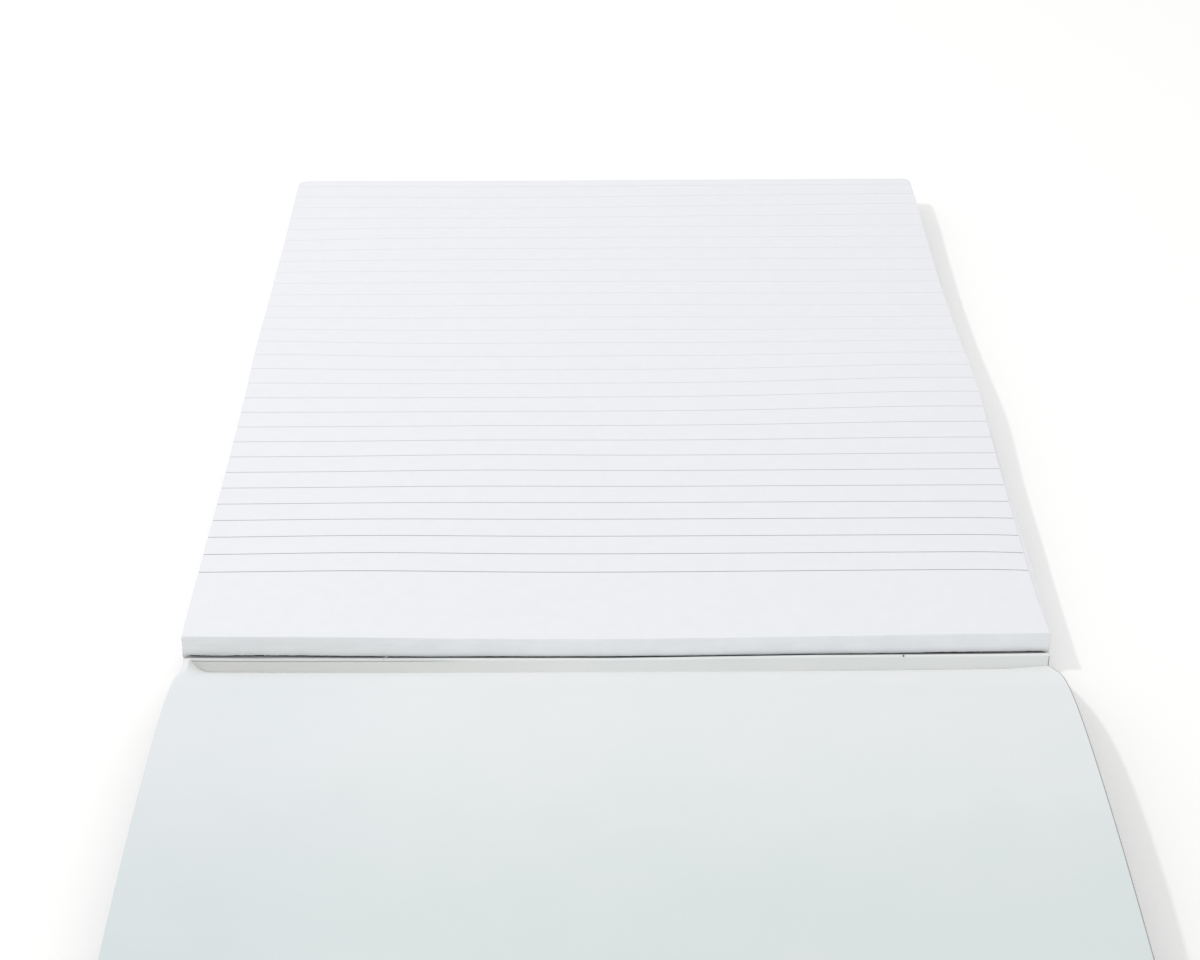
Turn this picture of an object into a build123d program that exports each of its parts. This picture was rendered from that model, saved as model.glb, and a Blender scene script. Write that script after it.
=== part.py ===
from build123d import *
import math
import os

# Sheets: letter size, gummed into one block at the head
sheet_width = 215.9
sheet_length = 279.4
sheets_height = 9.25
foot_corner_radius = 3.5

# Greyboard under the sheets
board_thickness = 0.85

# Padding glue over the head, and the crack where the binding has broken
glue_thickness = 0.2
crack_height = 0.9
crack_depth = 5.0
crack_end_margin = 1.7

# Card of the cover, and the strip of it that is turned under the board
card_thickness = 0.35
flap_length = 15.0

# Fold half-way up the spine: the card leaves the head at the peel angle, turns over and hangs down
fold_inner_radius = 0.2
fold_standoff = 1.55
fold_drop = 0.5
fold_gap = 0.15
peel_angle = 45.0
free_half_lean = 9.0
page_clearance = 0.05

# Front panel: it rises steeply from the crease, crests and comes back to the table
crease_slope = 31.0
crest_height = 14.2
crest_distance = 73.0
arch_take_up = 3.4
tail_slope = 3.3

# How far each curve of the arch holds its end directions, as shares of its span
rise_hold_at_crease = 0.245
rise_hold_at_crest = 0.755
tail_hold_at_crest = 0.29
tail_hold_at_table = 0.33

# The hinge line lies half-way between the crease when open and the crease when closed on the sheets
pad_height = board_thickness + sheets_height
hinge_height = (pad_height + card_thickness + page_clearance) / 2
fold_radius = fold_inner_radius + card_thickness
fold_centre = Vector(-fold_standoff, hinge_height - fold_drop - fold_radius)
gap_half_angle = math.degrees(fold_gap / 2 / fold_radius)

# The card is drawn on the pad's left side, and extruded to the right side
left_side = Plane.YZ.offset(-sheet_width / 2)

os.makedirs("parts", exist_ok=True)


def on_fold(angle):
    """The point of the fold's outer face at an angle from the horizontal, in the YZ plane."""
    return fold_centre + Vector(fold_radius, 0).rotate(Axis.Z, angle)


def cut_crack():
    """The broken binding opens as a wedge behind the fold, and stops short of both sides."""
    with BuildSketch(Plane.YZ) as wedge:
        with BuildLine():
            Polyline(
                (-glue_thickness, fold_centre.Y - crack_height / 2),
                (crack_depth, fold_centre.Y),
                (-glue_thickness, fold_centre.Y + crack_height / 2),
                close=True,
            )
        make_face()
    extrude(wedge.sketch, amount=sheet_width / 2 - crack_end_margin, both=True, mode=Mode.SUBTRACT)


# Block of sheets
with BuildPart() as page_block:
    with BuildSketch(Plane.XY.offset(board_thickness)) as sheet:
        Rectangle(sheet_width, sheet_length, align=(Align.CENTER, Align.MIN))
        fillet(sheet.vertices().group_by(Axis.Y)[-1], foot_corner_radius)
    extrude(amount=sheets_height)
    cut_crack()
page_block.part.label = "page_block"
export_step(page_block.part, "parts/page_block.step")

# Board, pressed in by one card thickness where the flap is glued under it
with BuildPart() as backing_board:
    with BuildSketch(Plane.XY) as board:
        Rectangle(sheet_width, sheet_length, align=(Align.CENTER, Align.MIN))
        fillet(board.vertices().group_by(Axis.Y)[-1], foot_corner_radius)
    extrude(amount=board_thickness)
    with BuildSketch(Plane.XY):
        Rectangle(sheet_width, flap_length, align=(Align.CENTER, Align.MIN))
    extrude(amount=card_thickness, mode=Mode.SUBTRACT)
backing_board.part.label = "backing_board"
export_step(backing_board.part, "parts/backing_board.step")

# Film of glue over the whole head, down to the flap
with BuildPart() as head_glue:
    with BuildSketch(Plane.XY.offset(card_thickness)):
        Rectangle(sheet_width, glue_thickness, align=(Align.CENTER, Align.MAX))
    extrude(amount=pad_height - card_thickness)
    cut_crack()
head_glue.part.label = "head_glue"
export_step(head_glue.part, "parts/head_glue.step")

# Part of the card that stays: flap, glued half of the spine, and the peeled strip up to the top of the fold
peel_start = on_fold(peel_angle)
peel_run = -glue_thickness - peel_start.X
peel_line = Vector(-glue_thickness, peel_start.Y - peel_run / math.tan(math.radians(peel_angle)))

with BuildPart() as cover_spine:
    with BuildSketch(left_side):
        with BuildLine():
            Polyline(
                (flap_length, card_thickness),
                (-glue_thickness, card_thickness),
                peel_line,
                peel_start,
            )
            CenterArc(fold_centre, fold_radius, peel_angle, 90 - peel_angle - gap_half_angle)
            offset(amount=card_thickness, side=Side.LEFT)
        make_face()
    extrude(amount=sheet_width)
cover_spine.part.label = "cover_spine"
export_step(cover_spine.part, "parts/cover_spine.step")

# Part of the card that swings: the free half of the spine, the crease, and the arched front panel
leg_start = on_fold(180 + free_half_lean)
leg_drop = leg_start.Y - card_thickness
crease = Vector(leg_start.X + leg_drop * math.tan(math.radians(free_half_lean)), card_thickness)
panel_reach = sheet_length - arch_take_up
crest = crease + Vector(-crest_distance, crest_height - card_thickness)
tail_end = crease + Vector(-panel_reach, 0)
tail_run = panel_reach - crest_distance


def draw_arch(depth):
    """The arch at a depth under the card's upper face: one curve up to the crest and one down to the table."""
    under_crease = crease + Vector(0, -depth).rotate(Axis.Z, -crease_slope)
    under_crest = crest + Vector(0, -depth)
    under_tail = tail_end + Vector(0, -depth).rotate(Axis.Z, tail_slope)
    rise_hold = Vector(-crest_distance * rise_hold_at_crease, 0).rotate(Axis.Z, -crease_slope)
    tail_hold = Vector(tail_run * tail_hold_at_table, 0).rotate(Axis.Z, tail_slope)
    Bezier(
        under_crease,
        under_crease + rise_hold,
        under_crest + Vector(crest_distance * rise_hold_at_crest, 0),
        under_crest,
    )
    Bezier(
        under_crest,
        under_crest + Vector(-tail_run * tail_hold_at_crest, 0),
        under_tail + tail_hold,
        under_tail,
    )
    return under_tail


with BuildPart() as front_cover:
    with BuildSketch(left_side):
        with BuildLine() as outline:
            fold_turn = 90 + free_half_lean - gap_half_angle
            outer_fold = CenterArc(fold_centre, fold_radius, 90 + gap_half_angle, fold_turn)
            inner_fold = CenterArc(fold_centre, fold_inner_radius, 90 + gap_half_angle, fold_turn)
            Line(outer_fold @ 0, inner_fold @ 0)
            Line(outer_fold @ 1, crease)
            round_crease = CenterArc(
                crease, card_thickness, 270 - crease_slope, 90 + crease_slope + free_half_lean
            )
            Line(inner_fold @ 1, round_crease @ 1)
            Line(draw_arch(0), draw_arch(card_thickness))
        make_face()
    extrude(amount=sheet_width)
front_cover.part.label = "front_cover"
export_step(front_cover.part, "parts/front_cover.step")
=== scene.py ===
# %% [markdown]
# # A letter-size writing pad, opened flat
#
# The pad is a block of about ninety ruled sheets, gummed together along its head. One card makes its
# cover: it starts under the board, runs up the head as a spine and turns over the top sheet. Here it
# has been opened towards us, and the binding has broken, so the card peels off half-way up the head.
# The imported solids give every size. This script dresses them with pieces of its own.

# %% Load the solids
import math

import bmesh
import bpy
import numpy as np
from mathutils import Matrix, Vector


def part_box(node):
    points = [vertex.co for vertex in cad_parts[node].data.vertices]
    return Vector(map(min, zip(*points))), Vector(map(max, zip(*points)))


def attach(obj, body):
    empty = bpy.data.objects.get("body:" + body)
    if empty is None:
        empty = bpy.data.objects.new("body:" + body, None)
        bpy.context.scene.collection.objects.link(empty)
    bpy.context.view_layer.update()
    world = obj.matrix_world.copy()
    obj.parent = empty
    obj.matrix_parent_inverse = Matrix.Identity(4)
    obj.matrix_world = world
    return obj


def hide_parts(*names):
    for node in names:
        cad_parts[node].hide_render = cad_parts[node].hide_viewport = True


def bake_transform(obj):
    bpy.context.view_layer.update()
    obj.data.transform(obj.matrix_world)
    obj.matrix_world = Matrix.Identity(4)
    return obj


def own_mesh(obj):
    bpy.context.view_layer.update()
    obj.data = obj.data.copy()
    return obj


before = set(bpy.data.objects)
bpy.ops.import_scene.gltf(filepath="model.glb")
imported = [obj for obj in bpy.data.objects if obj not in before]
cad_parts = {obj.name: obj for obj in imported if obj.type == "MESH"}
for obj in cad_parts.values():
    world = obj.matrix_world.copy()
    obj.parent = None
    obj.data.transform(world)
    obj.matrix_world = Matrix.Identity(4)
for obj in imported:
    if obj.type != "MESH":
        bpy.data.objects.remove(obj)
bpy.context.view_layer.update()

# %% [markdown]
# ## The camera
#
# Blender works in metres, and a sheet of paper is a tenth of a millimetre thick, so all shapes below
# are worked out in millimetres and scaled once. The camera's place was found from the corners of the
# pad and the spacing of the ruled lines. It stands a little left of the middle and looks down at 31°.

# %% Place the camera
MM = 0.001


def add_object(name, data):
    """A new object in the scene, at the origin."""
    made = bpy.data.objects.new(name, data)
    bpy.context.scene.collection.objects.link(made)
    return made


camera_place = Vector((-7.88, -483.11, 345.15)) * MM
pitch, yaw, roll = (math.radians(angle) for angle in (30.995, 0.404, -0.034))

forward = Vector((math.sin(yaw) * math.cos(pitch), math.cos(yaw) * math.cos(pitch), -math.sin(pitch)))
level = Vector((math.cos(yaw), -math.sin(yaw), 0))
above = level.cross(forward)
camera_right = level * math.cos(roll) + above * math.sin(roll)
camera_up = above * math.cos(roll) - level * math.sin(roll)

camera = add_object("camera", bpy.data.cameras.new("camera"))
turn = Matrix((camera_right, camera_up, -forward)).transposed().to_4x4()
camera.matrix_world = Matrix.Translation(camera_place) @ turn
camera.data.sensor_fit = "HORIZONTAL"
camera.data.sensor_width = 36
camera.data.lens = 70.59
camera.data.clip_start = 0.01
camera.data.clip_end = 50
bpy.context.scene.camera = camera
print("camera at", tuple(round(v, 4) for v in camera_place), "with a lens of", camera.data.lens, "mm")

# %% [markdown]
# ## Shader maths
#
# A finish is a tree of nodes. Writing every Math node by hand hides the idea behind the wiring, so a
# `Value` stands for one socket and `value * 2 + other` adds the nodes. `Finish` keeps the tree of one
# material, and its `node` method makes any other node: settings first, then values or links.


# %% Values and finishes
class Value:
    """One socket of a finish. Arithmetic on it adds Math nodes."""

    def __init__(self, finish, socket):
        self.finish = finish
        self.socket = socket

    def maths(self, operation, first, second):
        return self.finish.node("ShaderNodeMath", {"operation": operation}, {0: first, 1: second})

    def __add__(self, other):
        return self.maths("ADD", self, other)

    def __mul__(self, other):
        return self.maths("MULTIPLY", self, other)

    __radd__ = __add__
    __rmul__ = __mul__


class Finish:
    """The node tree of one material, with a Principled BSDF at its end."""

    def __init__(self, name, roughness, specular):
        self.material = bpy.data.materials.new(name)
        self.material.use_nodes = True
        self.nodes = self.material.node_tree.nodes
        self.links = self.material.node_tree.links
        self.shader = next(n for n in self.nodes if n.type == "BSDF_PRINCIPLED")
        self.place = self.node("ShaderNodeTexCoord", {}, {}, "Object")
        self.shader.inputs["Roughness"].default_value = roughness
        self.shader.inputs["Specular IOR Level"].default_value = specular

    def node(self, kind, settings, values, output=0):
        made = self.nodes.new(kind)
        for name, setting in settings.items():
            setattr(made, name, setting)
        for socket, value in values.items():
            if isinstance(value, Value):
                self.links.new(value.socket, made.inputs[socket])
            else:
                made.inputs[socket].default_value = value
        return Value(self, made.outputs[output])

    def stretch(self, x, y, z):
        """Object coordinates, in cycles per metre along each axis."""
        return self.node("ShaderNodeMapping", {}, {"Vector": self.place, "Scale": (x, y, z)})

    def noise(self, place, scale, detail=2.0, roughness=0.5):
        values = {"Vector": place, "Scale": scale, "Detail": detail, "Roughness": roughness}
        return self.node("ShaderNodeTexNoise", {}, values, "Fac")

    def range(self, value, from_low, from_high, to_low=0.0, to_high=1.0):
        """A value's range carried softly to another range, and held at its ends."""
        values = {"Value": value, "From Min": from_low, "From Max": from_high}
        values.update({"To Min": to_low, "To Max": to_high})
        return self.node("ShaderNodeMapRange", {"interpolation_type": "SMOOTHSTEP"}, values)

    def mix(self, share, first, second, way="MIX"):
        """Two colours mixed by a share."""
        settings = {"data_type": "RGBA", "blend_type": way}
        return self.node("ShaderNodeMix", settings, {0: share, 6: first, 7: second}, 2)

    def attribute(self, name):
        """A number that the mesh keeps for each of its points."""
        return self.node("ShaderNodeAttribute", {"attribute_name": name}, {}, "Fac")

    def part_of(self, vector, axis):
        """One coordinate of a vector."""
        return self.node("ShaderNodeSeparateXYZ", {}, {"Vector": vector}, axis)

    def bump(self, height, depth, strength=1.0):
        """Relief for the Normal socket: depth is in metres for a height of 1."""
        values = {"Height": height, "Distance": depth, "Strength": strength}
        self.feed("Normal", self.node("ShaderNodeBump", {}, values, "Normal"))

    def feed(self, socket, value):
        self.links.new(value.socket, self.shader.inputs[socket])


print("finishes can be made")

# %% [markdown]
# ## Light and table
#
# The pad was photographed in a white studio: light comes from everywhere, and a little more of it
# from the left, which lays a pale shadow about 8 mm wide along the right side. A white world gives
# the first, and one small square lamp the second. Their strengths add up to 1 on a level surface, so
# paper of brightness 0.86 comes out at 0.86. The table is white where the camera looks, with a trace
# of glow that keeps the soft shade round the pad from greying it.

# %% World, lamp and table
world_level = 0.84
lamp_level = 0.16
lamp_target = Vector((0, 0.1, 0))
lamp_place = lamp_target + Vector((-0.71, 0.08, 0.96))
lamp_size = 0.06
table_glow = 0.05
table_tones = (0.90, 0.90, 0.89, 1), (1.0, 0.998, 0.99, 1)


def seen_directly(nodes, links):
    """1 for rays from the camera, from gloss and through glass, and 0 for rays that carry light."""
    path = nodes.new("ShaderNodeLightPath")
    total = path.outputs["Is Camera Ray"]
    for name in ("Is Glossy Ray", "Is Transmission Ray"):
        add = nodes.new("ShaderNodeMath")
        add.operation = "MAXIMUM"
        links.new(total, add.inputs[0])
        links.new(path.outputs[name], add.inputs[1])
        total = add.outputs[0]
    return total


world = bpy.data.worlds.new("studio")
bpy.context.scene.world = world
world.use_nodes = True
sky = world.node_tree
sky_strength = sky.nodes.new("ShaderNodeMapRange")
sky_strength.inputs["To Min"].default_value = world_level
sky_strength.inputs["To Max"].default_value = 1.0
sky.links.new(seen_directly(sky.nodes, sky.links), sky_strength.inputs["Value"])
background = next(n for n in sky.nodes if n.type == "BACKGROUND")
background.inputs["Color"].default_value = (1, 1, 1, 1)
sky.links.new(sky_strength.outputs[0], background.inputs["Strength"])

lamp_data = bpy.data.lights.new("lamp", "AREA")
lamp_data.shape = "SQUARE"
lamp_data.size = lamp_size
lamp = add_object("lamp", lamp_data)
beam = lamp_target - lamp_place
lamp.location = lamp_place
lamp.rotation_euler = beam.to_track_quat("-Z", "Y").to_euler()
slant = abs(beam.normalized().z)
lamp_data.energy = lamp_level * math.pi ** 2 * beam.length_squared / slant

table_size = 12.0
table_drop = 0.05 * MM
table_mesh = bpy.data.meshes.new("table")
corner = table_size / 2
table_corners = [(-corner, -corner), (corner, -corner), (corner, corner), (-corner, corner)]
table_mesh.from_pydata([(x, y, -table_drop) for x, y in table_corners], [], [(0, 1, 2, 3)])
table = add_object("table", table_mesh)
table_finish = Finish("table_white", roughness=0.9, specular=0.0)
seen = Value(table_finish, seen_directly(table_finish.nodes, table_finish.links))
table_finish.feed("Base Color", table_finish.mix(seen, *table_tones))
glow = (table_glow, table_glow, table_glow, 1)
table_finish.feed("Emission Color", table_finish.mix(seen, (0, 0, 0, 1), glow))
table_finish.shader.inputs["Emission Strength"].default_value = 1.0
table_mesh.materials.append(table_finish.material)
bpy.context.scene.view_settings.view_transform = "Standard"
print("lamp of", round(lamp_data.energy, 2), "W at", round(beam.length, 2), "m")

# %% [markdown]
# ## Paper, glue, card and board
#
# Writing paper is matt, with a faint cloudiness where the fibres lie thicker. On the cut sides the
# sheets show as fine lines, so there the colour varies quickly upwards and slowly along the edge.
# Padding glue is a rubbery white film, a little shinier than paper. The cover is a smooth white card
# with a cool tint, and the board under the sheets is pressed from waste paper: grey, with specks.

# %% Writing paper
sheet_pitch = 0.1005 * MM
page_tones = (0.851, 0.859, 0.893, 1), (0.866, 0.873, 0.904, 1)
cut_tones = (0.60, 0.615, 0.645, 1), (0.86, 0.865, 0.885, 1)
crack_shade_tone = (0.02, 0.02, 0.022, 1)


def paper_finish():
    paper = Finish("writing_paper", roughness=0.82, specular=0.25)
    clouds = paper.noise(paper.place, 260.0, 4.0, 0.6)
    fibres = paper.noise(paper.stretch(9000, 3500, 9000), 1.0, 3.0, 0.6)
    page = paper.mix(paper.range(clouds, 0.3, 0.7), *page_tones)
    # one fine line to each sheet, and broader bands over them
    lines = paper.noise(paper.stretch(60, 60, 1 / sheet_pitch), 1.0, 2.0, 0.7)
    bands = paper.noise(paper.stretch(25, 25, 1300), 1.0, 1.0, 0.5)
    cut = paper.mix(paper.range(lines * 0.6 + bands * 0.4, 0.34, 0.62), *cut_tones)
    normal = paper.node("ShaderNodeNewGeometry", {}, {}, "Normal")
    upward = paper.range(paper.part_of(normal, "Z"), 0.80, 0.95)
    # painted shade: the paper turns almost black the deeper it lies in the crack
    crack_shade = paper.range(paper.attribute("crack"), 0.03, 0.22)
    paper.feed("Base Color", paper.mix(crack_shade, paper.mix(upward, cut, page), crack_shade_tone))
    paper.feed("Roughness", paper.range(fibres, 0.3, 0.7, 0.76, 0.9))
    paper.bump(fibres, 0.012 * MM, 0.5)
    return paper.material


writing_paper = paper_finish()
print("made", writing_paper.name)

# %% Ink and glue
ink_tones = (0.21, 0.225, 0.25, 1), (0.34, 0.355, 0.38, 1)
faint_ink = (0.725, 0.74, 0.77, 1)
glue_tones = (0.885, 0.905, 0.93, 1), (0.93, 0.945, 0.965, 1)
darker_left_glue = (0.955, 0.955, 0.94, 1)


def ink_finish():
    """Ruling that prints unevenly, and pales towards the foot."""
    ink = Finish("ruling_ink", roughness=0.75, specular=0.25)
    speckle = ink.noise(ink.stretch(2500, 9000, 2500), 1.0, 2.0, 0.6)
    printed = ink.mix(ink.range(speckle, 0.32, 0.66), *ink_tones)
    towards_foot = ink.range(ink.part_of(ink.place, "Y"), 0.01, 0.17)
    ink.feed("Base Color", ink.mix(towards_foot, printed, faint_ink))
    return ink.material


def glue_finish():
    """Brush strokes along the head, and a left half that is a little darker and warmer."""
    glue = Finish("padding_glue", roughness=0.5, specular=0.4)
    strokes = glue.noise(glue.stretch(90, 90, 900), 1.0, 3.0, 0.55)
    patches = glue.noise(glue.place, 140.0, 2.0, 0.5)
    film = glue.mix(glue.range(strokes * 0.5 + patches * 0.5, 0.35, 0.65), *glue_tones)
    # darker and a little warmer towards the left end
    towards_left = glue.range(glue.part_of(glue.place, "X"), -0.01, -0.09)
    glue.feed("Base Color", glue.mix(towards_left, film, darker_left_glue, "MULTIPLY"))
    glue.feed("Roughness", glue.range(patches, 0.3, 0.7, 0.42, 0.6))
    glue.bump(strokes, 0.02 * MM, 0.6)
    return glue.material


ruling_ink = ink_finish()
padding_glue = glue_finish()
print("made", ruling_ink.name, "and", padding_glue.name)

# %% Card and board
# painted shade: the spine, the fold and its leg grow darker and warmer towards the left end
spine_shade_tones = (0.858, 0.872, 0.866, 1), (0.805, 0.805, 0.775, 1)
# painted highlight just past the crease, then painted shade, greyer and greener towards the front end
painted_panel_tones = [
    # the y where a tone begins and where it is full, in metres, and the tone
    (-0.0035, -0.0065, (0.872, 0.880, 0.884, 1)),
    (-0.006, -0.026, (0.810, 0.832, 0.842, 1)),
    (-0.036, -0.118, (0.715, 0.772, 0.772, 1)),
]
cloud_shade = (0.93, 0.97, 0.96, 1)
left_shade = (0.965, 0.97, 0.985, 1)
# painted highlight along the crease, and painted shade in the crack, under the fold and along the
# right-hand ends
painted_light_tones = {"painted_highlight": (0.99, 0.99, 0.985, 1), "painted_shade": (0.12, 0.115, 0.11, 1)}
pulp_tones = (0.27, 0.25, 0.225, 1), (0.36, 0.34, 0.31, 1)
speck_tone = (0.10, 0.095, 0.09, 1)


def card_finish():
    """Card with painted shade towards its left and front ends, and painted highlight and painted shade
    laid over it.
    """
    card = Finish("cover_card", roughness=0.55, specular=0.35)
    clouds = card.noise(card.place, 55.0, 3.0, 0.55)
    grain = card.noise(card.stretch(4200, 2600, 4200), 1.0, 3.0, 0.6)
    across, along = (card.part_of(card.place, axis) for axis in "XY")
    tone = card.mix(card.range(across, 0.0, -0.095), *spine_shade_tones)
    for begins, full, next_tone in painted_panel_tones:
        tone = card.mix(card.range(along, begins, full), tone, next_tone)
    tone = card.mix(card.range(clouds, 0.32, 0.68, 0.0, 0.3), tone, cloud_shade, "MULTIPLY")
    tone = card.mix(card.range(across, -0.04, -0.10), tone, left_shade, "MULTIPLY")
    for painted_mark, painted_mark_tone in painted_light_tones.items():
        tone = card.mix(card.attribute(painted_mark), tone, painted_mark_tone)
    card.feed("Base Color", tone)
    card.feed("Roughness", card.range(grain, 0.3, 0.7, 0.5, 0.62))
    card.bump(grain, 0.008 * MM, 0.4)
    return card.material


def board_finish():
    board = Finish("greyboard", roughness=0.9, specular=0.2)
    pulp = board.noise(board.place, 900.0, 4.0, 0.65)
    specks = board.noise(board.place, 2600.0, 1.0, 0.5)
    plain = board.mix(board.range(pulp, 0.3, 0.7), *pulp_tones)
    dark = board.range(specks, 0.68, 0.76, 0.0, 0.7)
    board.feed("Base Color", board.mix(dark, plain, speck_tone))
    board.bump(pulp, 0.04 * MM, 0.6)
    return board.material


cover_card = card_finish()
greyboard = board_finish()
print("made", cover_card.name, "and", greyboard.name)

# %% [markdown]
# ## From numbers to solid pieces
#
# Each piece is a closed mesh. Rows of points in millimetres are easy to reason about, so two helpers
# turn them into solids: `strip` closes two grids of points into a bent plate, which is what a card
# is, and `bar_faces` joins rings of points, one for each place along a bar, and closes both ends.

# %% Helpers for solids
sharp_angle = math.radians(35)


def place_mesh(name, mesh, material):
    """A piece from a mesh that already lies where it belongs."""
    mesh.materials.clear()
    mesh.materials.append(material)
    print(name, "has", sum(len(p.vertices) - 2 for p in mesh.polygons), "triangles")
    return add_object(name, mesh)


def solid(name, points, faces, material):
    """A closed mesh object at the origin. Points are in millimetres."""
    mesh = bpy.data.meshes.new(name)
    mesh.from_pydata((np.asarray(points, float) * MM).tolist(), [], faces)
    shape = bmesh.new()
    shape.from_mesh(mesh)
    bmesh.ops.recalc_face_normals(shape, faces=shape.faces)
    shape.to_mesh(mesh)
    shape.free()
    mesh.polygons.foreach_set("use_smooth", [True] * len(mesh.polygons))
    mesh.set_sharp_from_angle(angle=sharp_angle)
    return place_mesh(name, mesh, material)


def name_points(piece, name, numbers):
    """Keeps one number for each point of the piece, for its finish to read."""
    kept = piece.data.attributes.new(name, "FLOAT", "POINT")
    kept.data.foreach_set("value", np.asarray(numbers, np.float32).ravel())


def name_face(piece, name, numbers):
    """The same for a strip, whose face has the numbers and whose back has zeros."""
    name_points(piece, name, np.concatenate([numbers.ravel(), np.zeros(numbers.size)]))


def grid_faces(rows, columns, first=0):
    """Quads over a grid of points that are numbered row by row."""
    start = (np.arange(rows - 1)[:, None] * columns + np.arange(columns - 1) + first).reshape(-1, 1)
    return (start + np.array([0, 1, columns + 1, columns])).tolist()


def strip(name, face, back, material):
    """A plate between two grids of points of the same shape."""
    rows, columns = face.shape[:2]
    count = rows * columns
    number = np.arange(count).reshape(rows, columns)
    faces = grid_faces(rows, columns) + [quad[::-1] for quad in grid_faces(rows, columns, count)]
    for rim in (number[0], number[-1], number[:, 0], number[:, -1]):
        for a, b in zip(rim[:-1], rim[1:]):
            faces.append([int(a), int(b), int(b + count), int(a + count)])
    return solid(name, np.concatenate([face.reshape(-1, 3), back.reshape(-1, 3)]), faces, material)


def bar_faces(rings, around, first=0):
    """Quads round a row of closed rings, and a face over each end."""
    number = np.arange(rings * around).reshape(rings, around) + first
    beside = np.roll(number, -1, axis=1)
    quads = np.stack([number[:-1], beside[:-1], beside[1:], number[1:]], axis=-1).reshape(-1, 4)
    return quads.tolist() + [number[0][::-1].tolist(), number[-1].tolist()]


print("solids can be made")


# %% Helpers for lines
def smooth_step(value):
    """A soft change from 0 to 1."""
    value = np.clip(value, 0, 1)
    return value * value * (3 - 2 * value)


def hump(value):
    """A soft hump: 1 at 0, and almost 0 beyond 2 on both sides."""
    return np.exp(-(value ** 2))


def through(place, knots):
    """A line through a few (place, value) knots."""
    places, values = zip(*knots)
    return np.interp(place, places, values)


def wander(along, spacing, seed):
    """A random line between -1 and 1 that changes over the given spacing."""
    low, high = along.min(), along.max()
    knots = np.linspace(low, high, max(2, int((high - low) / spacing)))
    return np.interp(along, knots, np.random.default_rng(seed).uniform(-1, 1, len(knots)))


def layered(along, layers):
    """Random lines added up, each with a size, a spacing and a seed."""
    return sum(size * wander(along, spacing, seed) for size, spacing, seed in layers)


low, high = (np.array(corner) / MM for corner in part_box("page_block"))
half_width = high[0]
sheet_length = high[1]
pad_height = high[2]
board_height = low[2]
# the film of glue stands on the flap of the card, one thickness above the table
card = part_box("head_glue")[0].z / MM
print("pad", 2 * half_width, "by", sheet_length, "by", pad_height, "mm, card of", card, "mm")

# %% [markdown]
# ## How the sheets lie
#
# The ruled lines show that the top sheet isn't flat: it swells by 1.6 mm near the right side, by
# a little less on the left, and dips at the head. A few rounded bumps added together follow that.
# Each bump has a place, a height and a spread along both sides. The head bows out 0.4 mm.

# %% Swells of the top sheet
swells = [
    # x, y, height, spread in x, spread in y
    (97, 128, 1.60, 34, 23),
    (-112, 153, 1.30, 28, 17),
    (-66, 36, 0.60, 24, 18),
    (-6, -4, -0.72, 40, 24),
    (-38, 84, 0.42, 22, 14),
    (-5, 178, 0.50, 34, 20),
    (-34, 258, -0.80, 34, 12),
    (-112, 236, -0.80, 22, 16),
    (100, 258, 0.50, 24, 12),
    (114, 36, -0.60, 8, 18),
]
head_bow = 0.40
head_dip = 0.316
head_fade = 24.0


def middle(x):
    """1 half-way across the pad, falling to 0 at both sides."""
    return 1 - (np.clip(x, -half_width, half_width) / half_width) ** 2


def swell(x, y):
    """Height of the top sheet over its flat level, in millimetres."""
    height = -head_dip * middle(x) * hump(y / head_fade)
    for centre_x, centre_y, rise, spread_x, spread_y in swells:
        across = (x - centre_x) ** 2 / (2 * spread_x ** 2)
        along = (y - centre_y) ** 2 / (2 * spread_y ** 2)
        height = height + rise * np.exp(-across - along)
    return height


def bow(x):
    """How far the head stands forward of a straight line."""
    return head_bow * middle(x)


def bowed(x, y):
    """Where a point lies along the pad, once the head is bowed."""
    return y - bow(x) * hump(y / head_fade)


print("highest swell:", max(rise for _, _, rise, _, _ in swells), "mm")

# %% [markdown]
# ## The block of sheets
#
# Ninety-two separate sheets would hide all but their edges, so the block is one closed mesh. Its top
# is a grid that follows the swells. Its side is a stack of rings, two for each sheet: one on the
# sheet's edge and one in the groove under it. A guillotine cuts a pad flush, and handling then moves
# the sheets by a few hundredths of a millimetre. At the right side the top four have been drawn in,
# which leaves a ledge, and near the head the stack bulges at the left. The broken binding opens
# between the sheets as a deep groove, whose inside is painted almost black as painted shade.

# %% Sides of the stack
sheet_count = 92
loose_sheets = 4
corner_radius = 3.5
crack_end = half_width - 0.5
crack_end_fade = 2.0
crack_reach = 5.0
crack_height = 0.85
crack_top_knots = [(-90, 4.32), (-50, 3.90), (0, 3.68), (50, 4.15), (100, 4.40)]
block_in_knots = [(120, 0.0), (150, 0.9), (200, 1.8), (280, 1.7)]
top_in_knots = [(2, 0.15), (14, 0.7), (45, 0.6), (70, 0.5), (110, 0.3), (140, 0.1)]
splay_least, splay_extra, splay_place, splay_fade = 0.12, 0.35, 48.0, 32.0
bulge_size, bulge_fade, top_bulge_share = 0.95, 62.0, 0.75
page_side = 16.0


def crack_top(x):
    """Height of the upper lip of the crack, which wanders across the head."""
    return through(x, crack_top_knots)


def block_in(y):
    """How far the whole stack is drawn in at the right side."""
    return through(y, block_in_knots)


def top_in(y):
    """How much further the top sheets are drawn in at the right side."""
    return through(y, top_in_knots)


def splay_right(y):
    """How far the lower sheets stand out at the right side."""
    return splay_least + splay_extra * hump((y - splay_place) / splay_fade)


def bulge_left(y):
    """How far the stack stands out at the left side, near the head."""
    return bulge_size * hump(y / bulge_fade)


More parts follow.
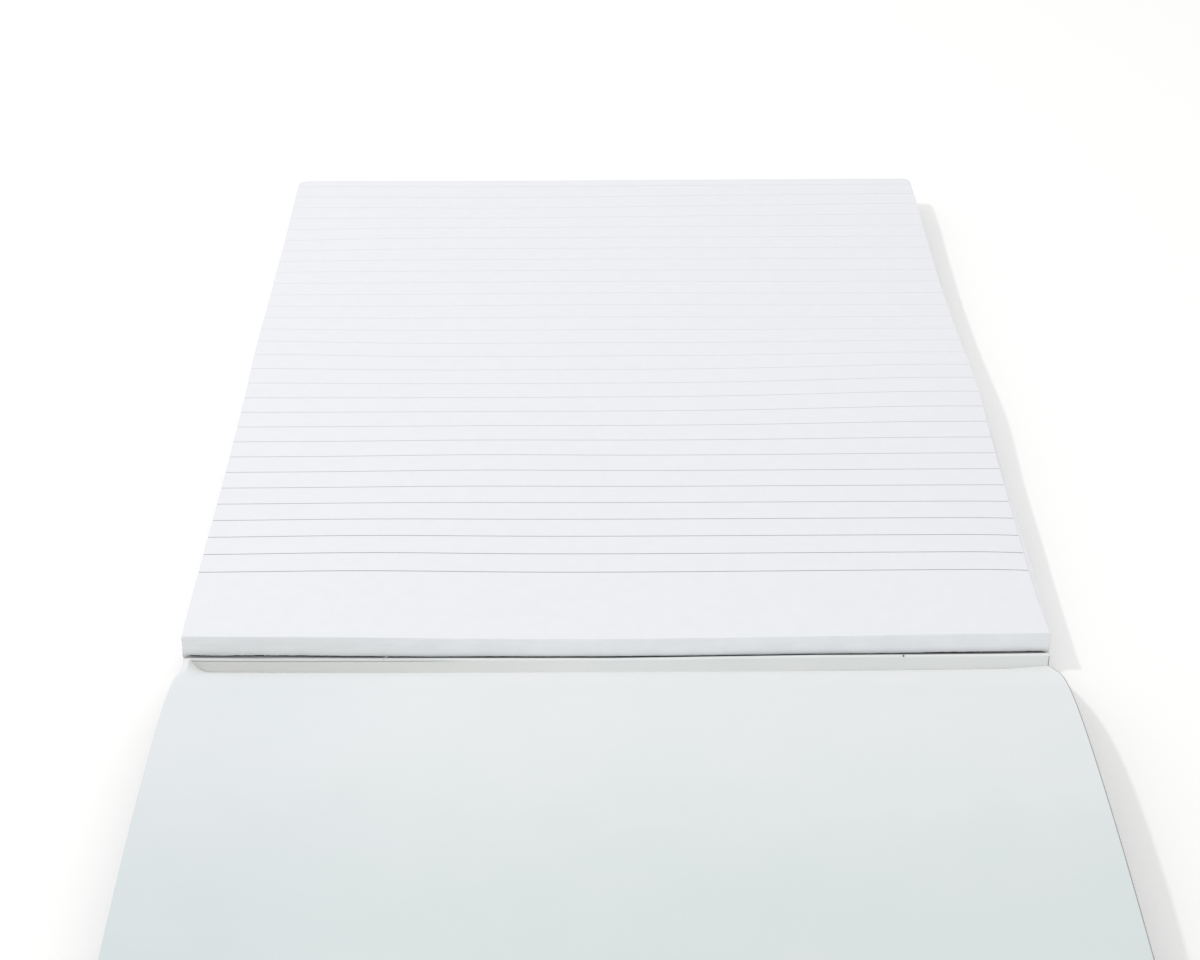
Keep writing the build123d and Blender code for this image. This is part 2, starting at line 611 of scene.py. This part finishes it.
def page_x(x, y):
    """Where a point of the top sheet lies across the pad, once the stack has slipped at its sides."""
    right = smooth_step((x - half_width + page_side) / page_side)
    left = smooth_step((-x - half_width + page_side) / page_side)
    return x - right * (block_in(y) + top_in(y)) - left * top_bulge_share * bulge_left(y)


print("crack", crack_height, "mm high and", crack_reach, "mm deep")

# %% The block
cells_across = 56
cells_along = 76
corner_cells = 4
slip_size = 0.022
drift_size = 0.07
drift_spacing = 9
foot_slip = 0.20
edge_share = 0.45
groove_depth = 0.06
at_edge = 0.01


def graded(low, high, cells, margin, margin_cells):
    """Places along a side, with finer cells beside both ends."""
    first = np.linspace(low, low + margin, margin_cells + 1)[:-1]
    between = np.linspace(low + margin, high - margin, cells + 1)
    last = np.linspace(high - margin, high, margin_cells + 1)[1:]
    return np.concatenate([first, between, last])


def round_corners(x, y):
    """Draws the square of cells at both corners of the foot in to a quarter disc."""
    side = np.abs(x) - (half_width - corner_radius)
    end = y - (sheet_length - corner_radius)
    in_corner = (side > 0) & (end > 0)
    shrink = np.where(in_corner, np.maximum(side, end) / np.maximum(np.hypot(side, end), 1e-9), 1)
    x = np.where(in_corner, np.sign(x) * (half_width - corner_radius + side * shrink), x)
    return x, np.where(in_corner, sheet_length - corner_radius + end * shrink, y)


def way_out(x, y):
    """The way out of the stack at every point of its rim. Along the head it is nil."""
    ahead_x, ahead_y = (np.roll(place, -1) - np.roll(place, 1) for place in (x, y))
    run = np.hypot(ahead_x, ahead_y)
    at_head = y < at_edge
    at_side = np.abs(x) > half_width - at_edge
    return np.where(at_head, at_side * np.sign(x), ahead_y / run), np.where(at_head, 0, -ahead_x / run)


def sheet_slips():
    """How far each sheet has slipped to the right, to the left and to the foot."""
    index = np.arange(sheet_count)
    slips = np.random.default_rng(7).normal(0, slip_size, (3, sheet_count))
    for row, seed in zip(slips, (21, 22, 23)):
        row += drift_size * wander(index.astype(float), drift_spacing, seed)
    slips[2] -= foot_slip * smooth_step(1 - index / loose_sheets)
    return slips


def block_piece():
    across = graded(-half_width, half_width, cells_across, corner_radius, corner_cells)
    along = graded(0, sheet_length, cells_along, corner_radius, corner_cells)
    x, y = round_corners(*np.meshgrid(across, along))
    number = np.arange(x.size).reshape(x.shape)
    rim = np.concatenate([number[0, :-1], number[:-1, -1], number[-1, :0:-1], number[:0:-1, 0]])
    rim_x, rim_y = x.ravel()[rim], y.ravel()[rim]
    out_x, out_y = way_out(rim_x, rim_y)
    right, left, foot = np.maximum(out_x, 0), np.maximum(-out_x, 0), np.maximum(out_y, 0)
    crack_share = smooth_step((crack_end - np.abs(rim_x)) / crack_end_fade) * (rim_y < at_edge)
    slips = sheet_slips()

    def ring(sheet, height, inset):
        """The rim at one height of a sheet, and how deep each of its points lies in the crack."""
        loose = float(sheet < loose_sheets)
        splayed = smooth_step((sheet - loose_sheets + 1) / 2)
        stands_right = splayed * splay_right(rim_y) - block_in(rim_y) - loose * top_in(rim_y)
        stands_left = (top_bulge_share + (1 - top_bulge_share) * splayed) * bulge_left(rim_y)
        push = (slips[0, sheet] + stands_right) * right + (slips[1, sheet] + stands_left) * left
        push = push + slips[2, sheet] * foot - inset
        from_centre = np.abs(height - crack_top(rim_x) + crack_height / 2) / (crack_height / 2)
        depth = np.clip(1 - from_centre, 0, 1) * crack_share
        # the swells fade towards the board
        share = (height - board_height) / (pad_height - board_height)
        place_y = bowed(rim_x, rim_y + out_y * push) + crack_reach * depth
        place_z = height + swell(rim_x, rim_y) * share ** 3
        return np.stack([rim_x + out_x * push, place_y, place_z], axis=-1), depth

    pitch = (pad_height - board_height) / sheet_count
    levels = [(0, pad_height, 0.0)]
    for sheet in range(sheet_count):
        top = pad_height - sheet * pitch
        levels += [(sheet, top - pitch * edge_share, 0.0), (sheet, top - pitch, groove_depth)]
    levels[-1] = (sheet_count - 1, board_height, 0.0)
    rings, depths = zip(*(ring(*level) for level in levels))

    top_points = np.stack([page_x(x, y), bowed(x, y), pad_height + swell(x, y)], axis=-1)
    top_points = top_points.reshape(-1, 3)
    top_points[rim] = rings[0]
    around = np.arange(len(rim))
    numbers = [rim] + [x.size + level * len(rim) + around for level in range(len(rings) - 1)]
    faces = grid_faces(*x.shape)
    for upper, lower in zip(numbers[:-1], numbers[1:]):
        faces += np.stack([upper, lower, np.roll(lower, -1), np.roll(upper, -1)], axis=-1).tolist()
    faces.append(numbers[-1][::-1].tolist())
    block = solid("sheet_block", np.concatenate([top_points, *rings[1:]]), faces, writing_paper)
    name_points(block, "crack", np.concatenate([np.zeros(x.size), *depths[1:]]))
    return block


sheet_block = block_piece()

# %% [markdown]
# ## Ruled lines
#
# The ruling is printed at a spacing of a third of an inch, edge to edge, below a plain margin at the
# head. Lines that repeat are a job for Geometry Nodes: the tree makes one thin bar and copies it down
# the sheet. The result is made a plain mesh, and its points are then laid on the swells.


# %% A tree of geometry nodes
class Tree:
    """A Geometry Nodes tree with named inputs, which ends in Realize Instances and Set Material."""

    def __init__(self, name, inputs):
        self.group = bpy.data.node_groups.new(name, "GeometryNodeTree")
        self.group.interface.new_socket("Geometry", in_out="OUTPUT", socket_type="NodeSocketGeometry")
        self.values = {}
        for label, (kind, value) in inputs.items():
            socket = self.group.interface.new_socket(label, in_out="INPUT", socket_type=kind)
            self.values[label] = (socket.identifier, value)
        self.source = self.group.nodes.new("NodeGroupInput")

    def input(self, label):
        return self.source.outputs[label]

    def node(self, kind, values, output=0, settings=None):
        made = self.group.nodes.new(kind)
        for name, setting in (settings or {}).items():
            setattr(made, name, setting)
        for socket, value in values.items():
            if isinstance(value, bpy.types.NodeSocket):
                self.group.links.new(value, made.inputs[socket])
            else:
                made.inputs[socket].default_value = value
        return made.outputs[output]

    def vector(self, x=0.0, y=0.0, z=0.0):
        return self.node("ShaderNodeCombineXYZ", {"X": x, "Y": y, "Z": z})

    def mesh(self, instances, material):
        """Runs the tree and returns its mesh."""
        real = self.node("GeometryNodeRealizeInstances", {"Geometry": instances})
        dressed = self.node("GeometryNodeSetMaterial", {"Geometry": real, "Material": material})
        self.group.links.new(dressed, self.group.nodes.new("NodeGroupOutput").inputs[0])
        carrier = add_object(self.group.name, bpy.data.meshes.new(self.group.name))
        modifier = carrier.modifiers.new(self.group.name, "NODES")
        modifier.node_group = self.group
        for identifier, value in self.values.values():
            modifier[identifier] = value
        bpy.context.view_layer.update()
        evaluated = carrier.evaluated_get(bpy.context.evaluated_depsgraph_get())
        made = bpy.data.meshes.new_from_object(evaluated)
        bpy.data.objects.remove(carrier)
        return made


print("trees can be made")

# %% The ruling
line_count = 30
line_spacing = 25.4 / 3
first_line = 28.75
line_margin = 0.15
line_width = 0.24
line_height = 0.05
line_lift = 0.012
line_cells = 90


def ruling_piece():
    lengths = {
        "Spacing": line_spacing,
        "Head Margin": first_line,
        "Line Length": 2 * (half_width - line_margin),
        "Line Width": line_width,
        "Line Height": line_height,
    }
    inputs = {name: ("NodeSocketFloat", length * MM) for name, length in lengths.items()}
    tree = Tree("ruling", {"Lines": ("NodeSocketInt", line_count), **inputs})
    line = tree.node("GeometryNodeMeshCube", {
        "Size": tree.vector(*(tree.input("Line " + side) for side in ("Length", "Width", "Height"))),
        "Vertices X": line_cells + 1, "Vertices Y": 2, "Vertices Z": 2,
    })
    places = tree.node("GeometryNodeMeshLine", {
        "Count": tree.input("Lines"),
        "Start Location": tree.vector(y=tree.input("Head Margin")),
        "Offset": tree.vector(y=tree.input("Spacing")),
    })
    lines = tree.node("GeometryNodeInstanceOnPoints", {"Points": places, "Instance": line})
    mesh = tree.mesh(lines, ruling_ink)
    x, y, z = (np.array([v.co for v in mesh.vertices]) / MM).T
    z = z + pad_height + swell(x, y) - line_height / 2 + line_lift
    points = np.stack([page_x(x, y), bowed(x, y), z], axis=-1)
    mesh.vertices.foreach_set("co", (points * MM).ravel())
    mesh.update()
    return place_mesh("ruled_lines", mesh, ruling_ink)


ruled_lines = ruling_piece()

# %% [markdown]
# ## The film of padding glue
#
# The head of the block was brushed with glue that sets to a rubbery film. It covers the ends of the
# sheets above the crack and below it, and tears along a ragged line. Each of the two slabs is a bar:
# a small cross-section at every half millimetre across the head, whose lip wanders at the crack.

# %% Glue above and below the crack
film = 0.2
film_overhang = 0.70
film_hollow = 0.03
film_foot = 0.35
lip_inset = 0.07
upper_bead = 0.16
lower_bead = 0.06
back_rise = 0.05
hair = 0.01
rough_from, rough_width, least_rough = 60.0, 25.0, 0.4
overhang_width = 8.0
head_stations = np.linspace(-half_width, half_width, 433)
# size, spacing and seed: broad waves first, and small bites on top of them
torn_layers = [(0.121, 9, 31), (0.066, 2.2, 32), (0.055, 0.8, 33)]
ripple_layers = [(0.03, 5, 41), (0.02, 1.7, 42)]


def left_share(x):
    """0 over most of the pad's width, rising to 1 at its left side."""
    return smooth_step((-x - half_width + overhang_width) / overhang_width)


def widened(x, overhang):
    """Places across the head, spread out at the left end, where the pad bulges."""
    return x - overhang * left_share(x)


def crack_edges(x):
    """The film's edge above the crack and below it. They meet at both ends."""
    openness = smooth_step(crack_end - np.abs(x))
    at_left, at_right = (smooth_step((way * x - rough_from) / rough_width) for way in (-1, 1))
    roughness = least_rough + at_left + at_right / 2
    centre = crack_top(x) - crack_height / 2
    upper = centre + (crack_height / 2 + layered(x, torn_layers) * roughness) * openness
    lower = centre - crack_height / 2 * openness - 2 * hair
    return upper, lower


def glue_piece():
    x = head_stations
    upper, lower = crack_edges(x)
    top = pad_height + swell(x, np.zeros_like(x))
    ripple = layered(x, ripple_layers)
    outer = -film - bow(x)
    inner = -bow(x) + hair

    def slab(low_edge, high_edge, bead):
        """The rings of one bar: a slightly hollow face, a rounded upper edge and a flat back."""
        levels = np.linspace(0, 1, 9)[:, None]
        face_y = outer + (film_hollow + ripple) * np.sin(np.pi * levels)
        face_y[0] += lip_inset
        face_z = low_edge + (high_edge - bead - low_edge) * levels
        rounding = np.linspace(0, math.pi / 2, 5)[1:, None]
        bead_y = outer + bead * (1 - np.cos(rounding))
        bead_z = high_edge - bead + bead * np.sin(rounding)
        ring_y = np.concatenate([face_y, bead_y, [inner, inner]])
        ring_z = np.concatenate([face_z, bead_z, [high_edge, low_edge + back_rise]])
        ring_x = np.broadcast_to(widened(x, film_overhang), ring_y.shape)
        return np.stack([ring_x, ring_y, ring_z], axis=-1).transpose(1, 0, 2)

    above_crack = slab(upper, top - hair, upper_bead)
    below_crack = slab(np.full_like(x, film_foot), lower, lower_bead)
    rings, around = above_crack.shape[:2]
    points = np.concatenate([above_crack.reshape(-1, 3), below_crack.reshape(-1, 3)])
    faces = bar_faces(rings, around) + bar_faces(rings, around, rings * around)
    return solid("glue_film", points, faces, padding_glue)


glue_film = glue_piece()

# %% [markdown]
# ## The card
#
# One card makes the spine and the cover, and it is cut here into three pieces that move differently:
# the part that is still glued to the pad, the fold, and the front panel. All three follow the face of
# the card that looks at us, from under the board up the head, over the fold and out along the arch.
# `card_back` finds the other face, one card thickness to the left of the way the line runs.

# %% Lines of the card
flap_length = 15.0
card_overhang = 0.70

peel_height = 3.63
peel_dip = 0.45
peel_angle = math.radians(45)

fold_y, fold_z = -1.55, 4.2
fold_outer = 0.55
fold_dip = 0.597
fold_knots = [(-90, -0.39), (-50, -0.26), (0, -0.34), (50, 0.14), (100, -0.12)]
leg_lean = math.radians(9)

crease_reach = 2.30
crease_round = 0.12
crease_slope = math.radians(31)
crease_angle = -math.pi / 2 - crease_slope
crease_rise = 0.31
right_lift, right_lift_width = 0.70, 13.0
left_turn, left_turn_width, left_turn_height, left_turn_power = -102.1, 5.3, 4.4, 2.3
highest_crease = 4.5
left_fine_width = 7.2


def card_back(face):
    """The back of the card: every point moved by the thickness, square to the line it lies on."""
    ahead = np.gradient(face, axis=1)
    ahead[..., 0] = 0
    ahead /= np.linalg.norm(ahead, axis=-1, keepdims=True)
    back = face.copy()
    back[..., 1] -= ahead[..., 2] * card
    back[..., 2] += ahead[..., 1] * card
    return back


def card_stations():
    """Places across the card, close together at the left end, where its corner lifts."""
    left_end = -half_width + left_fine_width * (1 - np.cos(np.linspace(0, math.pi / 2, 25)))
    between = np.linspace(-half_width + left_fine_width, half_width - right_lift_width, 79)
    right_end = np.linspace(half_width - right_lift_width, half_width - 0.3, 14)
    return np.concatenate([left_end[:-1], between[:-1], right_end, [half_width]])


def crease_height(x):
    """Height of the crease: it lies low, sweeps up at the left end and lifts a little at the right."""
    plain = card + crease_rise * (1 - middle(x))
    left = left_turn_height * np.clip((left_turn - x) / left_turn_width, 0, 2) ** left_turn_power
    right = right_lift * smooth_step((x - half_width + right_lift_width) / right_lift_width)
    return np.minimum(plain + left + right, highest_crease)


def as_points(x, y, z):
    """Places across, and a y and a z at each place, as a grid of points."""
    return np.stack(np.broadcast_arrays(x, y, z), axis=-1)


card_x = card_stations()
across_card = card_x[:, None]
print("card at", len(card_x), "places across")

# %% The glued part of the card
lower_turn = 0.12
rise_start = 0.15
flap_fade = 8.0
flap_start = 0.35


def spine_piece():
    ahead = bow(across_card)
    under = np.linspace(flap_length, flap_start, 12)[None, :]
    turn = np.linspace(-math.pi / 2, -math.pi, 6)[None, :]
    rise_low = card + rise_start
    rise_high = peel_height - peel_dip * middle(across_card)
    rise = rise_low + (rise_high - rise_low) * np.linspace(0, 1, 8)[None, :]
    flap_y = under - ahead * hump(under / flap_fade)
    turn_y = -film + lower_turn + lower_turn * np.cos(turn) - ahead
    rise_y = np.full_like(rise, -film) - ahead
    turn_z = card + lower_turn + lower_turn * np.sin(turn)
    below = np.concatenate([np.full_like(under, card), turn_z], axis=1)
    y = np.concatenate([flap_y, turn_y, rise_y], axis=1)
    z = np.concatenate([below.repeat(len(card_x), axis=0), rise], axis=1)
    face = as_points(widened(across_card, film_overhang), y, z)
    return strip("spine_card", face, card_back(face), cover_card)


spine_card = spine_piece()

# %% [markdown]
# ## The fold
#
# Where the binding broke, the card has come away from the head. It leans out, turns over in a fold of
# half a millimetre and hangs down in front of the head as a free leg. The peeled inner face of the
# card is painted dark, as painted shade in the crack, and the right-hand end has a painted shadow
# line. At the left the card is pinched under the fold, with a line of painted shade there, and
# wrinkled beside the round hollow in which the crease sweeps up.

# %% The fold
peel_columns, arc_columns, leg_columns, turn_columns = 13, 29, 33, 9
leg_crowding = 1.3
fold_tremble = [(0.05, 6, 51)]
fold_wave = [(0.03, 14, 52)]
pinch_depth, deeper_pinch, pinch_from, pinch_width = 0.04, 0.06, -10, 40
pinch_drop, pinch_height = 0.12, 0.12
wrinkle_depth, wrinkle_spacing = 0.06, 0.85
# a line of painted shade under the fold at the left, with fainter painted shade above it
shade_line_start, shade_line_width = -36, 14
faint_shade, dark_shade = 0.10, 0.75
shade_line_column, faint_shade_span = 24, 13
panel_lap = 0.02


def fold_piece():
    """The fold, and the line on its leg where the front panel begins."""
    x = across_card
    ahead = bow(x)
    crease_z = crease_height(widened(x, card_overhang))
    centre_y = fold_y + layered(card_x, fold_tremble)[:, None]
    centre_z = fold_z + through(x, fold_knots) - fold_dip * middle(x)
    centre_z = centre_z + layered(card_x, fold_wave)[:, None]

    arc = np.linspace(peel_angle, math.pi + leg_lean, arc_columns)[None, :]
    arc_y = centre_y + fold_outer * np.cos(arc)
    arc_z = centre_z + fold_outer * np.sin(arc)
    start_y, start_z = -film - ahead, peel_height - peel_dip * middle(x)
    peel_share = np.linspace(0, 1, peel_columns)[None, :-1]
    peel_y = start_y + (arc_y[:, :1] - start_y) * peel_share
    peel_z = start_z + (arc_z[:, :1] - start_z) * peel_share

    turn = np.linspace(leg_lean, crease_angle, turn_columns)[None, :]
    turn_y = -crease_reach - crease_round - ahead + crease_round * np.cos(turn)
    turn_z = card + crease_round + crease_round * np.sin(turn).repeat(len(card_x), axis=0)
    leg_share = (np.linspace(0, 1, leg_columns) ** leg_crowding)[None, 1:-1]
    leg_y = arc_y[:, -1:] + (turn_y[:, :1] - arc_y[:, -1:]) * leg_share
    leg_z = arc_z[:, -1:] + (turn_z[:, :1] - arc_z[:, -1:]) * leg_share
    pinch = pinch_depth + deeper_pinch * smooth_step((pinch_from - x) / pinch_width)
    leg_y = leg_y + pinch * hump((leg_z - centre_z + pinch_drop) / pinch_height)
    beside_hollow = smooth_step((left_turn + 3 - x) / 5)
    wrinkles = np.sin((leg_z - crease_z) * 2 * math.pi / wrinkle_spacing)
    leg_y = leg_y + wrinkle_depth * wrinkles * beside_hollow

    y = np.concatenate([peel_y, arc_y, leg_y, turn_y], axis=1)
    z = np.concatenate([peel_z, arc_z, leg_z, turn_z], axis=1)
    face = as_points(widened(x, card_overhang), y, z)
    fold = strip("spine_fold", face, card_back(face), cover_card)

    # painted shade on the peeled columns, a painted shadow line on the right-hand end, and a thin
    # painted shade line under the fold with fainter shade above it
    painted_shade = np.zeros(face.shape[:2])
    painted_shade[:, :peel_columns] = 1
    painted_shade[-1] = 1
    shade_line = peel_columns - 1 + shade_line_column
    at_left = smooth_step((shade_line_start - x) / shade_line_width)
    painted_shade[:, shade_line - faint_shade_span:shade_line + 2] = faint_shade * at_left
    painted_shade[:, shade_line - 1:shade_line + 2] = dark_shade * at_left
    name_face(fold, "painted_shade", painted_shade)

    share = (arc_z[:, -1:] - crease_z) / (arc_z[:, -1:] - turn_z[:, :1])
    crease_y = arc_y[:, -1:] + (turn_y[:, :1] - arc_y[:, -1:]) * share + panel_lap
    return fold, crease_y, crease_z


spine_fold, crease_y, crease_z = fold_piece()

# %% [markdown]
# ## The front panel
#
# Beyond the crease the card springs up and comes back to the table in one long arch. Two Bezier
# curves describe the arch, as in the solids. A shallow score runs along it near the crease, where the
# card would bend if the pad were opened by hand.

# %% Line of the arch
arch_start = -1.5
panel_end = -277.5
crest_height = 14.2
crest_run = 73.0
tail_slope = math.radians(3.3)
# how far each curve holds its end directions, as shares of its span
hold_at_crease, hold_before_crest, hold_after_crest, hold_at_table = 0.245, 0.755, 0.29, 0.33
cut_share = 0.0109
rise_crowding = 1.7


def bezier(start, first, second, end, share):
    rest = 1 - share
    return (rest ** 3 * start + 3 * rest ** 2 * share * first
            + 3 * rest * share ** 2 * second + share ** 3 * end)


def arch_line():
    """The arch from the crease over its crest to the front end, as rows of y and z."""
    rise_share = cut_share + (1 - cut_share) * np.linspace(0, 1, 65) ** rise_crowding
    tail_share = np.linspace(0, 1, 48)[1:]
    crest_y = arch_start - crest_run
    tail_run = crest_y - panel_end
    hold = crest_run * hold_at_crease
    steep_y, steep_z = arch_start - hold * math.cos(crease_slope), card + hold * math.sin(crease_slope)
    hold = tail_run * hold_at_table
    low_y, low_z = panel_end + hold * math.cos(tail_slope), card + hold * math.sin(tail_slope)
    before_crest = crest_y + crest_run * hold_before_crest
    after_crest = crest_y - tail_run * hold_after_crest
    line_y = [bezier(arch_start, steep_y, before_crest, crest_y, rise_share),
              bezier(crest_y, after_crest, low_y, panel_end, tail_share)]
    line_z = [bezier(card, steep_z, crest_height, crest_height, rise_share),
              bezier(crest_height, crest_height, low_z, card, tail_share)]
    return np.concatenate(line_y)[None, :], np.concatenate(line_z)[None, :]


print("arch of", crest_height, "mm at", crest_run, "mm from the crease")

# %% Panel
bow_reach = 60.0
crease_y_reach = 8.0
crease_z_reach = 4.5
score_place, score_depth, score_width = 13.4, 0.045, 0.45
panel_overhang = 0.30
crease_overhang, crease_overhang_reach = 0.80, 12.0
tuck, tuck_reach = 0.35, 7.0
highlight_width = 1.2
left_highlight_share, left_highlight_width = 0.5, 4.0


def panel_piece():
    x = across_card
    line_y, line_z = arch_line()
    out = line_y[:, :1] - line_y
    beyond = crease_y - line_y[:, :1] + bow(x)
    lift = crease_z - line_z[:, :1]
    y = line_y - bow(x) * hump(out / bow_reach) + beyond * hump(out / crease_y_reach)
    z = line_z + lift * hump(out / crease_z_reach)
    z = z - score_depth * hump((out - score_place) / score_width)
    overhang = panel_overhang + (crease_overhang - panel_overhang) * hump(out / crease_overhang_reach)
    overhang = overhang - tuck * hump((out / tuck_reach) ** 2)
    right = left_share(-x) * smooth_step(out / 3)
    face = as_points(widened(x, overhang) + panel_overhang * right, y, z)
    panel = strip("front_panel", face, card_back(face), cover_card)

    # a painted highlight along the crease, wider at the left hollow, and a painted shadow line along
    # the right-hand end
    at_left = smooth_step((left_turn + 1 - x) / 3)
    painted_shade = np.zeros(y.shape)
    painted_shade[-1] = 1
    left_highlight = left_highlight_share * at_left * hump(out / left_highlight_width)
    name_face(panel, "painted_highlight", np.maximum(hump(out / highlight_width), left_highlight))
    name_face(panel, "painted_shade", painted_shade)
    return panel


front_panel = panel_piece()

# %% [markdown]
# ## Torn flecks
#
# Where the binding broke, shreds of glue and paper hang in the crack, most of them at the left. They
# are scattered by Geometry Nodes along a line in the crack: a sliver for each point, turned and
# scaled by seeded random values.

# %% Flecks
fleck_count = 30
fleck_size = 0.20
fleck_tip = 0.1
fleck_depth = 0.12
flecks_from = Vector((-104.0, -0.32, 4.66)) * MM
flecks_to = Vector((-84.0, -0.40, 4.52)) * MM
fleck_reach = Vector((0.5, 0.12, 0.16)) * MM


def fleck_piece():
    tree = Tree("flecks", {
        "Flecks": ("NodeSocketInt", fleck_count),
        "Left End": ("NodeSocketFloat", flecks_from.x),
        "Right End": ("NodeSocketFloat", flecks_to.x),
        "Size": ("NodeSocketFloat", fleck_size * MM),
        "Seed": ("NodeSocketInt", 5),
    })

    def random_vector(low, high, seed):
        values = {"Min": low, "Max": high, "Seed": seed}
        return tree.node("FunctionNodeRandomValue", values, settings={"data_type": "FLOAT_VECTOR"})

    row = tree.node("GeometryNodeMeshLine", {
        "Count": tree.input("Flecks"),
        "Start Location": tree.vector(tree.input("Left End"), flecks_from.y, flecks_from.z),
        "Offset": tree.vector(tree.input("Right End"), flecks_to.y, flecks_to.z),
    }, settings={"mode": "END_POINTS"})
    away = random_vector(-fleck_reach, fleck_reach, tree.input("Seed"))
    spread = tree.node("GeometryNodeSetPosition", {"Geometry": row, "Offset": away})
    sliver = tree.node("GeometryNodeMeshCone", {
        "Vertices": 5, "Radius Top": fleck_tip * MM, "Radius Bottom": tree.input("Size"),
        "Depth": fleck_depth * MM,
    })
    flecks = tree.node("GeometryNodeInstanceOnPoints", {
        "Points": spread,
        "Instance": sliver,
        "Rotation": random_vector((0, 0, 0), (6, 6, 6), 11),
        "Scale": random_vector((0.5, 0.3, 0.3), (2.2, 0.9, 0.9), 12),
    })
    return place_mesh("torn_flecks", tree.mesh(flecks, padding_glue), padding_glue)


torn_flecks = fleck_piece()

# %% [markdown]
# ## A loose fibre and a speck
#
# Two small marks set this pad apart. A white paper fibre has been pulled out of the torn edge and
# lies across the crack, and a dark speck of dirt sits on the top of the fold, near the right end.
# The fibre is a thin bar along a bent line, and the speck is a small lump, flattened and uneven.

# %% Fibre and speck
fibre_line = [
    (-58.9, -1.95, 3.95), (-58.5, -1.70, 4.17), (-57.9, -1.05, 4.24),
    (-57.3, -0.62, 4.22), (-56.9, -0.42, 4.40),
]
fibre_radii = [0.035, 0.09, 0.10, 0.08, 0.04]
speck_place = Vector((71.4, -1.98, 4.42))
speck_size = (0.18, 0.20, 0.26)


def fibre_piece():
    around = np.linspace(0, 2 * math.pi, 7)[:-1]
    radius = np.array(fibre_radii)[:, None]
    rings = np.array(fibre_line)[:, None, :].repeat(len(around), axis=1)
    rings[..., 0] += radius * np.cos(around)
    rings[..., 2] += radius * np.sin(around)
    return solid("loose_fibre", rings.reshape(-1, 3), bar_faces(*rings.shape[:2]), writing_paper)


def dirt_finish():
    dirt = Finish("dirt", roughness=0.85, specular=0.2)
    grain = dirt.noise(dirt.place, 6000.0, 2.0, 0.5)
    shade = dirt.range(grain, 0.35, 0.65)
    dirt.feed("Base Color", dirt.mix(shade, (0.012, 0.011, 0.01, 1), (0.05, 0.045, 0.04, 1)))
    return dirt.material


def speck_piece():
    lump = bmesh.new()
    bmesh.ops.create_icosphere(lump, subdivisions=3, radius=1.0)
    draw = np.random.default_rng(61)
    for vertex in lump.verts:
        reach = Vector(side * size for side, size in zip(vertex.co, speck_size))
        vertex.co = (speck_place + reach * draw.uniform(0.85, 1.1)) * MM
    mesh = bpy.data.meshes.new("dirt_speck")
    lump.to_mesh(mesh)
    lump.free()
    return place_mesh("dirt_speck", mesh, dirt_finish())


loose_fibre = fibre_piece()
dirt_speck = speck_piece()

# %% [markdown]
# ## Fitting the pieces to the solids
#
# Most pieces ride on a body of the imported model: the sheets, the ruling, the glue, the flecks and
# the glued part of the card on the pad, and the front panel and the speck on the cover. The fold and
# the fibre keep their places. The board keeps its solid, with a new finish.

# %% Bodies
board_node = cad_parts["backing_board"]
for slot in board_node.material_slots:
    slot.material = greyboard

for piece, slot_name in (
    (sheet_block, "sheets"), (ruled_lines, "sheets"), (glue_film, "padding_glue"),
    (torn_flecks, "padding_glue"), (spine_card, "cover_card"),
):
    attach(piece, "pad")
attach(dirt_speck, "cover")
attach(front_panel, "cover")

for piece in (sheet_block, ruled_lines, glue_film, torn_flecks):
    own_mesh(piece)
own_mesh(front_panel)
for piece in (spine_fold, loose_fibre):
    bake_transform(piece)

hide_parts("page_block")
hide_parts("head_glue")
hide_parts("cover_spine")
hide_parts("front_cover")
